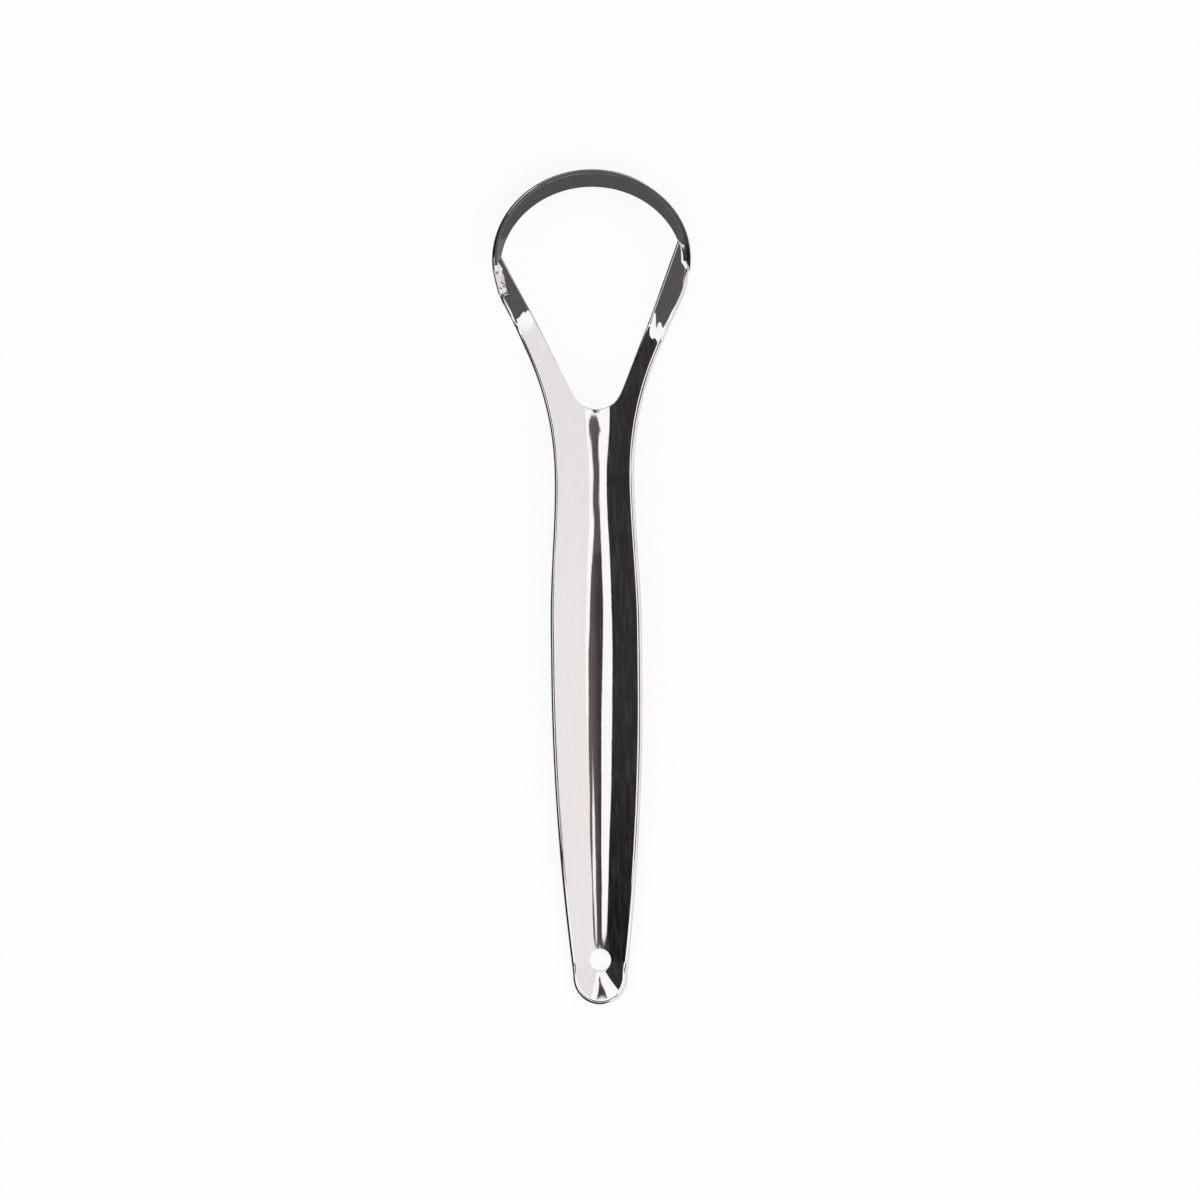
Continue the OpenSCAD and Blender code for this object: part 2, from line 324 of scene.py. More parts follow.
def new_piece(name, bm):
    """A smooth closed piece from a mesh: parts that touch are joined and open ends are filled."""
    bmesh.ops.remove_doubles(bm, verts=bm.verts, dist=1e-7)
    bmesh.ops.dissolve_degenerate(bm, edges=bm.edges, dist=1e-8)
    rims = [e for e in bm.edges if e.is_boundary]
    if rims:
        bmesh.ops.holes_fill(bm, edges=rims, sides=0)
    bmesh.ops.recalc_face_normals(bm, faces=bm.faces)
    for f in bm.faces:
        f.smooth = True
    return placed(name, bm)


def add_rows(bm, rows, closed=False, places=None):
    """Adds quads between rows of points; places say in mm where the steel's grain runs."""
    layer = bm.verts.layers.float_vector.get(GRAIN) or bm.verts.layers.float_vector.new(GRAIN)
    places = np.asarray(rows) / MM if places is None else places
    verts = []
    for row, row_places in zip(rows, places):
        verts.append([])
        for point, place in zip(row, row_places):
            vert = bm.verts.new(point)
            vert[layer] = place
            verts[-1].append(vert)
    for a, b in zip(verts, verts[1:]):
        count = len(a)
        last = count if closed else count - 1
        for i in range(last):
            j = (i + 1) % count
            bm.faces.new((a[i], a[j], b[j], b[i]))


def outward(points, flip):
    """Unit normals in plan of a line of points, on its right-hand side or its left."""
    along = np.gradient(points, axis=0)
    along /= np.linalg.norm(along, axis=1, keepdims=True)
    side = np.stack([along[:, 1], -along[:, 0]], -1)
    return -side if flip else side


def rim_rows(edge, out, ease, radius):
    """Rows of points round the sheet's edge, from its upper face to its lower one."""
    rows = []
    for turn in np.linspace(90, -90, RIM_STEPS + 1):
        a = math.radians(turn)
        plan = edge - out * (ease * (1 - math.cos(a)))[:, None]
        top = SHEET_T / 2 - radius * (1 - math.sin(a))
        foot = radius * (1 + math.sin(a)) - SHEET_T / 2
        share = (1 + math.sin(a)) / 2
        off = top if turn > 1 else foot if turn < -1 else share * top + (1 - share) * foot
        rows.append(on_sheet(plan, off * np.ones(len(edge))))
    return rows


def sheet_half(bm, side, end_angle, arm_angle, free_angle):
    """One half of the handle's sheet: side is 1 on the right and -1 on the left."""
    outer = outer_line(end_angle, arm_angle, free_angle)
    gap = gap_line(arm_angle, FORK_SHIFT * side)
    outer_run = lengths(outer)
    # The rows fan out round the hole, then run across from the axis, then from the fork's gap
    beside_hole, beside_fork = 5.5, FORK_Y + 0.3
    fan_end = np.interp(beside_hole, outer[:, 1], outer_run)
    fork_end = np.interp(beside_fork, outer[:, 1], outer_run)
    fan = np.linspace(0, 1, FAN_STEPS + 1)
    axis = np.linspace(0, 1, AXIS_STEPS + 1)[1:]
    arm = np.linspace(0, 1, ARM_STEPS + 1)[1:]

    hole_turn = np.radians(-90 + 180 * fan)
    hole = HOLE_R * np.stack([np.cos(hole_turn), np.sin(hole_turn)], -1)
    axis_low, axis_high = HOLE_R + HOLE_EDGE_R, FORK_Y - FORK_EDGE_W
    axis_y = axis_low + (axis_high - axis_low) * axis
    shift_over = 12
    axis_x = FORK_SHIFT * side * np.clip(1 - (axis_high - axis_y) / shift_over, 0, 1) ** 2
    gap_run = np.concatenate([[0], arm]) * lengths(gap)[-1]
    gap_edge = at_lengths(gap, gap_run)

    outer_wanted = np.concatenate([
        fan * fan_end,
        fan_end + (fork_end - fan_end) * axis,
        fork_end + (outer_run[-1] - fork_end) * arm,
    ])
    outer_edge = at_lengths(outer, outer_wanted)
    outer_out = outward(outer_edge, False)
    outer_out[0] = (0, -1)
    gap_out = outward(gap_edge, True)
    gap_out[0] = (0, 1)

    width = np.linalg.norm(outer_edge[-ARM_STEPS - 1:] - gap_edge, axis=1)
    gap_ease = np.interp(gap_run, (0, 3, 9), (FORK_EDGE_W, FORK_EDGE_W, EDGE_R))
    gap_ease = np.minimum(gap_ease, EDGE_SHARE * width)
    outer_ease = np.full(len(outer_edge), OUTER_EDGE_W)
    outer_ease[-ARM_STEPS - 1:] = np.minimum(OUTER_EDGE_W, EDGE_SHARE * width)
    hole_ease = np.full(len(hole), HOLE_EDGE_R)

    hole_out = -hole / HOLE_R
    inner = np.vstack([
        hole - hole_out * hole_ease[:, None],
        np.stack([axis_x, axis_y], -1)[:-1],
        gap_edge - gap_out * gap_ease[:, None],
    ])
    limit = outer_edge - outer_out * outer_ease[:, None]
    # Rows lie closer beside the axis and beside the rounded edge, where the face curves
    near = np.array([0, 0.012, 0.03, 0.06, 0.1, 0.15, 0.2])
    far = np.linspace(near[-1], 1, ACROSS_STEPS + 1)[1:-1]
    shares = np.concatenate([near, far, [0.988, 1]])
    mirror = np.array([side, 1])
    plan = (inner[:, None] + (limit - inner)[:, None] * shares[None, :, None]) * mirror
    add_rows(bm, laid(on_sheet(plan, np.full(plan.shape[:2], SHEET_T / 2))))
    add_rows(bm, laid(on_sheet(plan, np.full(plan.shape[:2], -SHEET_T / 2))))
    for edge, out, ease, radius in (
        (outer_edge, outer_out, outer_ease, EDGE_R),
        (hole, hole_out, hole_ease, HOLE_EDGE_R),
        (gap_edge, gap_out, gap_ease, EDGE_R),
    ):
        add_rows(bm, laid(rim_rows(edge * mirror, out * mirror, ease, radius)))


def make_handle():
    """The pressed sheet: trough, hanging hole, fork and flat head."""
    bm = bmesh.new()
    sheet_half(bm, 1, RIGHT_END_ANGLE, RIGHT_ARM_ANGLE, RIGHT_FREE_ANGLE)
    sheet_half(bm, -1, LEFT_END_ANGLE, LEFT_ARM_ANGLE, 0)
    return new_piece("handle_sheet", bm)


def strip_section(top, lean, roll=OUTER_RIM_R, ease=0.0):
    """The strip's section (radius, height): its inner side is lower by lean, and ease draws it in."""
    low = -SHEET_T
    inner_top = top - lean
    tall = top - low
    corners = (
        (strip_outer(low), low, 1, 1, FOOT_RIM_R), (strip_outer(top), top, 1, -1, roll),
        (strip_inner(inner_top), inner_top, -1, -1, INNER_RIM_R),
        (strip_inner(low), low, -1, 1, FOOT_RIM_R),
    )
    starts = (-90, 0, 90, 180)
    points = []
    for (r, h, side, rise, radius), start in zip(corners, starts):
        radius = min(radius, (tall - lean) / 2.2)
        centre_h = h + rise * radius
        wall = strip_outer(centre_h) if side > 0 else strip_inner(centre_h)
        points.append(arc((wall - side * radius, centre_h), radius, start, start + 90, 8))
    ring = []
    for k, corner in enumerate(points):
        ring.extend(corner)
        if k + 1 < len(points):
            following = points[k + 1][0]
            for share in np.linspace(0, 1, 9)[1:-1]:
                ring.append(corner[-1] + (following - corner[-1]) * share)
    ring = np.array(ring)
    middle = np.mean([c[:2] for c in corners], axis=0)
    return ring + (middle - ring) * ease


def fade_share(angle):
    """How far along its ground left end the strip is: 0 at the very end, 1 where it is whole."""
    reach = HOOP_R * (math.sin(math.radians(angle)) + math.sin(math.radians(LEFT_END_ANGLE)))
    return 1.0 if angle < 90 else min(max(reach / LEFT_FADE, 0.0), 1.0)


def fade_top(angle):
    """The strip's height, which fades away at its ground left end."""
    share = fade_share(angle)
    return HOOP_TOP * (LEFT_END_SHARE + (1 - LEFT_END_SHARE) * (1 - (1 - share) ** LEFT_FADE_POWER))


def end_drop(angle):
    """How much lower the strip's rim is towards its right end."""
    return RIGHT_END_DROP * max(1 - (angle + STRIP_END_ANGLE) / RIGHT_DROP_OVER, 0) ** 2


def ground_share(angle):
    """How far the grinding of the left end has gone: 0 where the strip is whole, 1 where it is flat."""
    return min(max(GROUND_FROM - fade_share(angle), 0) * GROUND_RATE, 1)


def ground_lean(angle):
    """How much lower the strip's inner rim is than its outer one where the left end is ground."""
    lean = RIM_FALL + (GROUND_LEAN - RIM_FALL) * ground_share(angle)
    return min(lean, GROUND_MOST * fade_top(angle))


def strip_ring(angle, section, share=0.0):
    """A ring of the strip at an angle; a share of the right end's slant and reach turns its parts."""
    inner, outer = section[:, 0].min(), section[:, 0].max()
    turned = angle + share * RIGHT_END_SLANT * (outer - section[:, 0]) / (outer - inner)
    turned = turned - share * RIGHT_END_REACH * section[:, 1] / HOOP_TOP
    a = np.radians(turned)
    ring = np.stack([section[:, 0] * np.cos(a), section[:, 0] * np.sin(a), section[:, 1]], -1)
    places = np.stack([section[:, 0], HOOP_R * a, section[:, 1]], -1)
    return laid(on_head(ring)), places


def make_hoop():
    """The scraping strip, from its slanted right end round to its ground left end."""
    bm = bmesh.new()
    start, end = -STRIP_END_ANGLE, 180 + LEFT_END_ANGLE
    whole = start + RIGHT_END_OVER
    rings = []
    for share in np.linspace(1, 0, 6):
        section = strip_section(HOOP_TOP - RIGHT_END_DROP, RIGHT_RIM_FALL, RIGHT_RIM_R, 0.04 * share ** 2)
        rings.append(strip_ring(start + RIGHT_END_ROUND / 2 * (1 - share) ** 2, section, 1.0))
    for angle in np.linspace(start + RIGHT_END_ROUND, whole, 14):
        section = strip_section(HOOP_TOP - end_drop(angle), RIGHT_RIM_FALL, RIGHT_RIM_R)
        rings.append(strip_ring(angle, section, (whole - angle) / (RIGHT_END_OVER - RIGHT_END_ROUND)))
    for angle in np.linspace(whole, end, HOOP_STEPS + 1)[1:]:
        right = min(max((RIGHT_RIM_FROM - angle) / RIGHT_RIM_OVER, 0), 1)
        lean = ground_lean(angle) + (RIGHT_RIM_FALL - RIM_FALL) * right
        roll = OUTER_RIM_R + (RIGHT_RIM_R - OUTER_RIM_R) * right
        roll += (GROUND_RIM_R - OUTER_RIM_R) * ground_share(angle)
        rings.append(strip_ring(angle, strip_section(fade_top(angle) - end_drop(angle), lean, roll)))
    rings.append(strip_ring(end + 0.3, strip_section(fade_top(end), ground_lean(end), ease=0.5)))
    add_rows(bm, [r for r, p in rings], True, [p for r, p in rings])
    return new_piece("scraping_hoop_strip", bm)


def fillet_ring(foot, away, leg, rise, flare, side, hollow):
    """A ring of a fillet's points: its foot on the head's plane, a leg out and a rise up."""
    straight = 1 - hollow
    ring = []
    for turn in np.linspace(0, 90, 13):
        b = math.radians(turn)
        share = turn / 90
        h = rise * (hollow * (1 - math.sin(b)) + straight * (1 - share))
        out = leg * (hollow * (1 - math.cos(b)) + straight * share)
        ring.append((out - h * math.tan(flare) * (1 - share), h))
    ring += [(leg, -EMBED), (-EMBED, -EMBED), (-EMBED - rise * math.tan(flare), rise)]
    points = np.array([[foot[0] + away[0] * r, foot[1] + away[1] * r, h] for r, h in ring])
    return laid(on_head(points * (side, 1, 1)))


def inner_face_rows(start, end, leg_at, rise_at):
    """A fillet's rows along the strip's inner face, from one angle to another."""
    rows = []
    for angle in np.linspace(start, end, WELD_STEPS):
        a = math.radians(angle)
        radial = np.array([math.cos(a), math.sin(a)])
        rows.append((strip_inner(0) * radial, -radial, leg_at(angle), rise_at(angle), HOOP_FLARE))
    return rows


def make_left_weld():
    """The ground fillet along the strip's left end, as high as the strip is there."""
    start, end = LEFT_WELD_START, -LEFT_END_ANGLE - WELD_MARGIN
    full = start - LEFT_WELD_EASE
    thinnest, least_rise, below_rim, rise_over = 0.1, 0.08, 0.02, 3

    def leg_at(angle):
        if angle > full:
            growth = math.sin((start - angle) / (start - full) * math.pi / 2)
            return thinnest + (LEFT_WELD_LEG - thinnest) * growth
        return LEFT_WELD_LEG * (1.0 - LEFT_WELD_TAPER * (full - angle) / (full - end))

    def rise_at(angle):
        turned = 180 - angle
        rise = max(fade_top(turned) - ground_lean(turned) - below_rim, least_rise)
        return rise * min((start - angle) / rise_over + thinnest, 1)

    bm = bmesh.new()
    rows = inner_face_rows(start, end, leg_at, rise_at)
    add_rows(bm, [fillet_ring(*row, -1, LEFT_WELD_HOLLOW) for row in rows], True)
    return new_piece("left_weld_fillet", bm)


def make_right_weld():
    """The small fillet along the strip's foot on the right, which turns along its slanted end."""
    start, end = RIGHT_ARM_ANGLE - WELD_MARGIN, RIGHT_END_SLANT - STRIP_END_ANGLE
    thinnest, swelling = 0.1, 1.8

    def leg_at(angle):
        return RIGHT_WELD_LEG * (thinnest + (1 - thinnest) * ((start - angle) / (start - end)) ** swelling)

    def rise_at(angle):
        return RIGHT_WELD_RISE / RIGHT_WELD_LEG * leg_at(angle)

    bm = bmesh.new()
    rows = inner_face_rows(start, end, leg_at, rise_at)
    foot, inwards, leg, rise, flare = rows[-1]
    last = math.radians(-STRIP_END_ANGLE)
    corner = strip_outer(0) * np.array([math.cos(last), math.sin(last)])
    along = (corner - foot) / np.linalg.norm(corner - foot)
    square = np.array([along[1], -along[0]])
    square = square if np.dot(square, inwards) > 0 else -square
    for share in np.linspace(0, 1, 9)[1:]:
        away = inwards + (square - inwards) * share
        rows.append((foot, away / np.linalg.norm(away), leg, rise, flare * (1 - share)))
    for share in np.linspace(0, 1, 10)[1:]:
        low = 1 - RIGHT_WELD_TAPER * share ** 2
        place = foot + (corner - foot) * RIGHT_WELD_RUN * share
        rows.append((place, square, leg * low, rise * low, 0.0))
    add_rows(bm, [fillet_ring(*row, 1, RIGHT_WELD_HOLLOW) for row in rows], True)
    return new_piece("right_weld_fillet", bm)


# Materials

def socket(tree, name, kind, way, default=None):
    """A new input or output of a node group."""
    s = tree.interface.new_socket(name=name, in_out=way, socket_type=kind)
    if default is not None:
        s.default_value = default
    return s


def node(tree, kind, **settings):
    """A new node with its settings."""
    n = tree.nodes.new(kind)
    for key, value in settings.items():
        setattr(n, key, value)
    return n


# How much stronger the slow waviness is than the fine lines
WAVE_WEIGHT = 6.0
# How fine the dull streaks are across, along and square to the metal, in turns a millimetre
STREAK_SCALE = (1.8, 0.14, 1.8)
# The least and most roughness, as shares of the steel's own
LEAST_ROUGH, MOST_ROUGH = 0.8, 1.25


def polish_group():
    """Fine lines that a polishing wheel leaves along the metal, and a slow waviness."""
    tree = bpy.data.node_groups.new("polishing_lines", "ShaderNodeTree")
    socket(tree, "Vector", "NodeSocketVector", "INPUT")
    socket(tree, "Lines across", "NodeSocketFloat", "INPUT", 9.0)
    socket(tree, "Lines along", "NodeSocketFloat", "INPUT", 0.12)
    socket(tree, "Wave", "NodeSocketFloat", "INPUT", 0.08)
    socket(tree, "Height", "NodeSocketFloat", "OUTPUT")
    links = tree.links
    start = node(tree, "NodeGroupInput")
    end = node(tree, "NodeGroupOutput")
    stretch = node(tree, "ShaderNodeCombineXYZ")
    links.new(start.outputs["Lines across"], stretch.inputs["X"])
    links.new(start.outputs["Lines along"], stretch.inputs["Y"])
    links.new(start.outputs["Lines across"], stretch.inputs["Z"])
    scaled = node(tree, "ShaderNodeVectorMath", operation="MULTIPLY")
    links.new(start.outputs["Vector"], scaled.inputs[0])
    links.new(stretch.outputs[0], scaled.inputs[1])
    lines = node(tree, "ShaderNodeTexNoise", noise_dimensions="3D")
    lines.inputs["Scale"].default_value = 1.0
    lines.inputs["Detail"].default_value = 3.0
    lines.inputs["Roughness"].default_value = 0.6
    links.new(scaled.outputs[0], lines.inputs["Vector"])
    wave = node(tree, "ShaderNodeTexNoise", noise_dimensions="3D")
    wave.inputs["Detail"].default_value = 1.0
    links.new(start.outputs["Vector"], wave.inputs["Vector"])
    links.new(start.outputs["Wave"], wave.inputs["Scale"])
    wide = node(tree, "ShaderNodeMath", operation="MULTIPLY")
    wide.inputs[1].default_value = WAVE_WEIGHT
    links.new(wave.outputs["Fac"], wide.inputs[0])
    both = node(tree, "ShaderNodeMath", operation="ADD")
    links.new(lines.outputs["Fac"], both.inputs[0])
    links.new(wide.outputs[0], both.inputs[1])
    links.new(both.outputs[0], end.inputs["Height"])
    return tree


def smudge_group():
    """Faint streaks, clouds and small specks where the polish is a little duller."""
    tree = bpy.data.node_groups.new("polish_smudges", "ShaderNodeTree")
    socket(tree, "Vector", "NodeSocketVector", "INPUT")
    socket(tree, "Cloud", "NodeSocketFloat", "INPUT", 0.12)
    socket(tree, "Speck", "NodeSocketFloat", "INPUT", 2.2)
    socket(tree, "Haze", "NodeSocketFloat", "INPUT", 0.03)
    socket(tree, "Smudge", "NodeSocketFloat", "OUTPUT")
    socket(tree, "Streaks", "NodeSocketFloat", "OUTPUT")
    socket(tree, "Clean metal", "NodeSocketFloat", "OUTPUT")
    links = tree.links
    start = node(tree, "NodeGroupInput")
    end = node(tree, "NodeGroupOutput")
    cloud = node(tree, "ShaderNodeTexNoise", noise_dimensions="3D")
    cloud.inputs["Detail"].default_value = 4.0
    links.new(start.outputs["Vector"], cloud.inputs["Vector"])
    links.new(start.outputs["Cloud"], cloud.inputs["Scale"])
    speck = node(tree, "ShaderNodeTexNoise", noise_dimensions="3D")
    speck.inputs["Detail"].default_value = 2.0
    links.new(start.outputs["Vector"], speck.inputs["Vector"])
    links.new(start.outputs["Speck"], speck.inputs["Scale"])
    ramp = node(tree, "ShaderNodeMapRange", interpolation_type="SMOOTHSTEP")
    ramp.inputs["From Min"].default_value = 0.6
    ramp.inputs["From Max"].default_value = 0.75
    links.new(speck.outputs["Fac"], ramp.inputs["Value"])
    stretch = node(tree, "ShaderNodeVectorMath", operation="MULTIPLY")
    stretch.inputs[1].default_value = STREAK_SCALE
    links.new(start.outputs["Vector"], stretch.inputs[0])
    streak = node(tree, "ShaderNodeTexNoise", noise_dimensions="3D")
    streak.inputs["Scale"].default_value = 1.0
    streak.inputs["Detail"].default_value = 2.0
    links.new(stretch.outputs[0], streak.inputs["Vector"])
    spread = node(tree, "ShaderNodeMapRange")
    spread.inputs["From Min"].default_value = 0.3
    spread.inputs["From Max"].default_value = 0.7
    links.new(streak.outputs["Fac"], spread.inputs["Value"])
    dull = node(tree, "ShaderNodeMath", operation="MAXIMUM")
    links.new(ramp.outputs[0], dull.inputs[0])
    squared = node(tree, "ShaderNodeMath", operation="POWER")
    squared.inputs[1].default_value = 2.0
    links.new(spread.outputs[0], squared.inputs[0])
    links.new(squared.outputs[0], dull.inputs[1])
    haze = node(tree, "ShaderNodeMath", operation="MULTIPLY")
    links.new(dull.outputs[0], haze.inputs[0])
    links.new(start.outputs["Haze"], haze.inputs[1])
    clean = node(tree, "ShaderNodeMath", operation="SUBTRACT")
    clean.inputs[0].default_value = 1.0
    links.new(haze.outputs[0], clean.inputs[1])
    links.new(cloud.outputs["Fac"], end.inputs["Smudge"])
    links.new(spread.outputs[0], end.inputs["Streaks"])
    links.new(clean.outputs[0], end.inputs["Clean metal"])
    return tree


def steel(name, colour, dull_colour, roughness, lines_height, groups):
    """Polished stainless steel with polishing lines, faint smudges and specks."""
    polish, smudges = groups
    mat = bpy.data.materials.new(name)
    mat.use_nodes = True
    tree = mat.node_tree
    links = tree.links
    bsdf = tree.nodes["Principled BSDF"]
    grain = node(tree, "ShaderNodeAttribute", attribute_name=GRAIN)
    lines = node(tree, "ShaderNodeGroup", node_tree=polish)
    dull = node(tree, "ShaderNodeGroup", node_tree=smudges)
    links.new(grain.outputs["Vector"], lines.inputs["Vector"])
    links.new(grain.outputs["Vector"], dull.inputs["Vector"])
    tint = node(tree, "ShaderNodeMix", data_type="RGBA")
    tint.inputs["A"].default_value = (*colour, 1)
    tint.inputs["B"].default_value = (*dull_colour, 1)
    links.new(dull.outputs["Streaks"], tint.inputs["Factor"])
    links.new(dull.outputs["Clean metal"], bsdf.inputs["Metallic"])
    links.new(tint.outputs["Result"], bsdf.inputs["Base Color"])
    rough = node(tree, "ShaderNodeMapRange")
    rough.inputs["To Min"].default_value = roughness * LEAST_ROUGH
    rough.inputs["To Max"].default_value = roughness * MOST_ROUGH
    links.new(dull.outputs["Smudge"], rough.inputs["Value"])
    links.new(rough.outputs[0], bsdf.inputs["Roughness"])
    bump = node(tree, "ShaderNodeBump")
    bump.inputs["Strength"].default_value = 1.0
    bump.inputs["Distance"].default_value = lines_height * MM
    links.new(lines.outputs["Height"], bump.inputs["Height"])
    links.new(bump.outputs[0], bsdf.inputs["Normal"])
    return mat


# Stage

# The photograph's frame: its size, the row of the hanging hole, its scale and the tool's lean. The hole
# lies in the middle of its row, so the frame's middle is straight up from it. The scale holds at
# SCALE_HEIGHT above the table
PHOTO_SIDE = 1200
HOLE_PIXEL_Y = 960
PIXELS_PER_MM = 5.387
LEAN = math.radians(0.68)
CAMERA_HEIGHT = 3000.0
SCALE_HEIGHT = 4.0
SENSOR = 36.0
CAMERA_RUN = (HOLE_PIXEL_Y - PHOTO_SIDE / 2) / PIXELS_PER_MM
CAMERA_X = CAMERA_RUN * math.sin(LEAN)
CAMERA_Y = CAMERA_RUN * math.cos(LEAN) - MIDDLE_Y

# Heights of the studio's cards in millimetres: most hang high, those for the bends and the rim hang low,
# and those that show in the strip's wall lie on the floor. Where cards overlap the one that shows is the
# nearest to the tool
CARD_HEIGHT = 350.0
LOW_HEIGHT = 20.0
RIM_FLAG_HEIGHT = 40.0
FLOOR_CARD_HEIGHT = -0.03
FAR = 3000.0


def mirrored(here, normal, height):
    """Where the light that the camera sees in faces at some points crosses a height."""
    normal = normal / np.linalg.norm(normal, axis=1, keepdims=True)
    sight = here - (CAMERA_X, CAMERA_Y, CAMERA_HEIGHT)
    sight /= np.linalg.norm(sight, axis=1, keepdims=True)
    ray = sight - 2 * (sight * normal).sum(1, keepdims=True) * normal
    return here[:, :2] + ray[:, :2] * ((height - here[:, 2:]) / ray[:, 2:])


def lit_from(places, height=CARD_HEIGHT):
    """Where the light that shows in the handle's upper face at some places crosses a height."""
    plan = np.array(places, float)
    d = 0.05
    half = np.full(len(plan), SHEET_T / 2)

    def face(shift_x, shift_y):
        return laid(on_sheet(plan + (shift_x, shift_y), half)) / MM

    here = face(0, 0)
    return mirrored(here, np.cross(face(d, 0) - face(-d, 0), face(0, d) - face(0, -d)), height)


def lit_from_rim(turns, height):
    """The same for the hoop's rolled upper rim, from (angle round the hoop, tilt outwards)."""
    angle, tilt = np.radians(np.array(turns, float)).T
    radial = np.stack([np.cos(angle), np.sin(angle), 0 * angle], -1)
    rim = (strip_outer(HOOP_TOP) - OUTER_RIM_R) * radial + (0, 0, HOOP_TOP)
    face = np.sin(tilt)[:, None] * radial + np.cos(tilt)[:, None] * (0, 0, 1)
    here = laid(on_head(rim)) / MM
    return mirrored(here, laid(on_head(rim + face)) / MM - here, height)


def bare_material(thing, name):
    """Gives a thing a new material and returns its tree, which has no nodes yet."""
    mat = bpy.data.materials.new(name)
    mat.use_nodes = True
    mat.node_tree.nodes.clear()
    thing.data.materials.append(mat)
    return mat.node_tree


def stage_card(name, rows, height, colour, far_colour=None, axis="Y", span=(0.0, 1.0)):
    """A flat glowing card that only reflections show, made of rows of points in mm."""
    bm = bmesh.new()
    grid = [[bm.verts.new((x * MM, y * MM, height * MM)) for x, y in row] for row in rows]
    for a, b in zip(grid, grid[1:]):
        for i in range(len(a) - 1):
            bm.faces.new((a[i], a[i + 1], b[i + 1], b[i]))
    card = placed(name, bm)
    tree = bare_material(card, name)
    glow = node(tree, "ShaderNodeEmission")
    glow.inputs["Color"].default_value = (*colour, 1)
    if far_colour:
        place = node(tree, "ShaderNodeTexCoord")
        parts = node(tree, "ShaderNodeSeparateXYZ")
        tree.links.new(place.outputs["Object"], parts.inputs[0])
        share = node(tree, "ShaderNodeMapRange")
        share.inputs["From Min"].default_value = span[0] * MM
        share.inputs["From Max"].default_value = span[1] * MM
        tree.links.new(parts.outputs[axis], share.inputs["Value"])
        blend = node(tree, "ShaderNodeMix", data_type="RGBA")
        blend.inputs["A"].default_value = (*colour, 1)
        blend.inputs["B"].default_value = (*far_colour, 1)
        tree.links.new(share.outputs[0], blend.inputs["Factor"])
        tree.links.new(blend.outputs["Result"], glow.inputs["Color"])
    out = node(tree, "ShaderNodeOutputMaterial")
    tree.links.new(glow.outputs[0], out.inputs["Surface"])
    card.visible_camera = False
    card.visible_diffuse = False
    card.visible_shadow = False
    card.visible_transmission = False


# Where the studio's cards show in the handle: places along it, and the dark stripe's two edges
VALLEY_SHADE = (
    (2.2, -0.9, 2.0), (2.9, -1.0, 1.9), (3.3, -1.1, 0.8), (4.2, -1.2, 0.45),
    (8, -1.35, 0.45), (13, -1.35, 0.55), (22, -1.65, 0.55), (31, -1.6, 0.7),
    (40, -1.7, 0.8), (47, -1.6, 0.9), (56, -1.5, 1.2), (62, -1.25, 1.35), (67, -1.1, 1.4),
    (72, -0.85, 1.3), (76, -0.5, 1.2),
)
# The stripe's upper part, where it is browner
UPPER_SHADE = (
    (75.9, -0.5, 1.2), (80, -0.2, 1.1), (86, -0.05, 1.0), (91, -0.25, 0.85), (95.4, -0.4, 0.85),
    (97.6, -0.85, 0.95), (98.8, -0.9, 1.4), (99.8, -0.95, 1.05), (100.8, -0.8, 0.9), (101.3, -0.4, 0.5),
)
# The light line inside the dark stripe near the tail
VALLEY_SLIT = (
    (3.2, -0.75, -0.55), (8, -0.95, -0.55), (13, -1.15, -0.65), (18, -1.2, -0.6), (22, -1.15, -0.7),
    (27, -1.15, -0.7), (31, -1.05, -0.8), (40, -1.05, -0.9),
)
# The black line round the hoop's left rim: its angle and how far out the rim's face tilts there, and how
# far it tilts at the line's outer edge
RIM_SHADE = ((180, 4), (170, 4), (160, 4), (150, 5), (144, 7), (138, 11), (132, 14))
RIM_SHADE_OUT = 22
# The soft light line beside it: the tilt of the rim's face where it begins, and where it ends
RIM_TOP = -1
RIM_SHEEN = ((148, 5.5), (144, 7), (138, 11), (132, 14), (124, 14))
# The black flag's edge on the right, and the soft grey light's edge on the left
FLAG_EDGE = (
    (2.2, 0.7), (2.9, 0.9), (3.5, 1.15), (4.6, 1.4), (8, 1.6), (13, 1.8), (22, 2.1), (31, 2.55), (40, 2.75),
    (48, 2.95), (55, 3.1), (61, 3.1), (71, 2.95), (77, 2.75), (82, 2.5), (86, 2.4), (91, 2.4), (95, 2.75),
    (98, 3.0), (101.5, 3.1),
)
SOFT_EDGE = (
    (3, -1.1), (8, -1.3), (22, -1.6), (36, -1.75), (42, -2.05), (48, -2.15), (56, -2.15), (66, -1.85),
    (73, -1.55), (80, -1.1), (88, -1.0), (95, -1.3), (101, -1.6),
)
# The dark wedge in the tail, as its two edges' places
TAIL_SHADE = (
    (-3.3, -0.3, 0.05), (-4.3, -0.2, 0.1), (-5.6, -0.35, 0.85), (-6.7, -0.6, 1.15), (-7.6, -0.9, 1.7),
)
